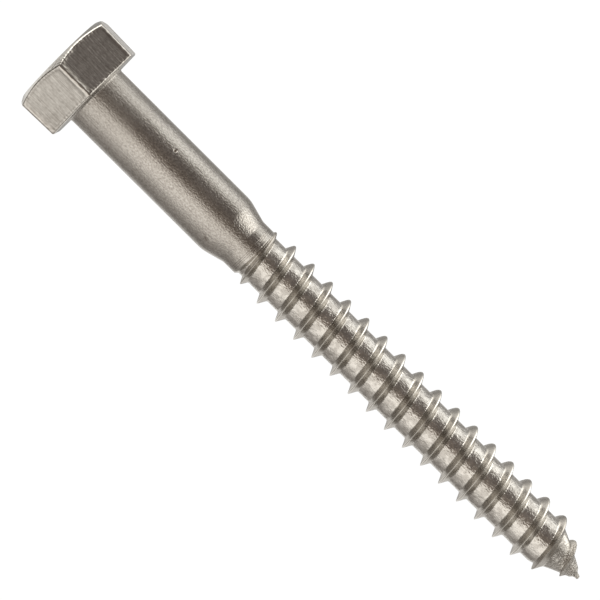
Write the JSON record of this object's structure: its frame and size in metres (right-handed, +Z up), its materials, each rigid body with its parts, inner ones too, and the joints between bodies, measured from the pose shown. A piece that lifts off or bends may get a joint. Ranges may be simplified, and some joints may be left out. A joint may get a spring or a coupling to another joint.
{
  "type": "lag bolt",
  "caption": "Hexagon head lag bolt in stainless steel, with a plain shank, a short reduced neck and a coarse wood thread running to a gimlet point.",
  "frame": {"origin": "centre of the bearing face under the head, on the bolt's axis", "axes": "+X runs from the head to the point, with the bolt lying on a table: its axis tips 1.9 degrees below +X, because the head is wider than the thread. +Z is up, at right angles to the table, and one flat of the head faces down. +Y completes the frame, through two corners of the head"},
  "size_m": [0.0808, 0.014, 0.0123],
  "materials": {
    "stainless": "rolled and lightly brushed stainless steel"
  },
  "bodies": {
    "root": {"lag_bolt": "stainless"}
  },
  "joints": []
}
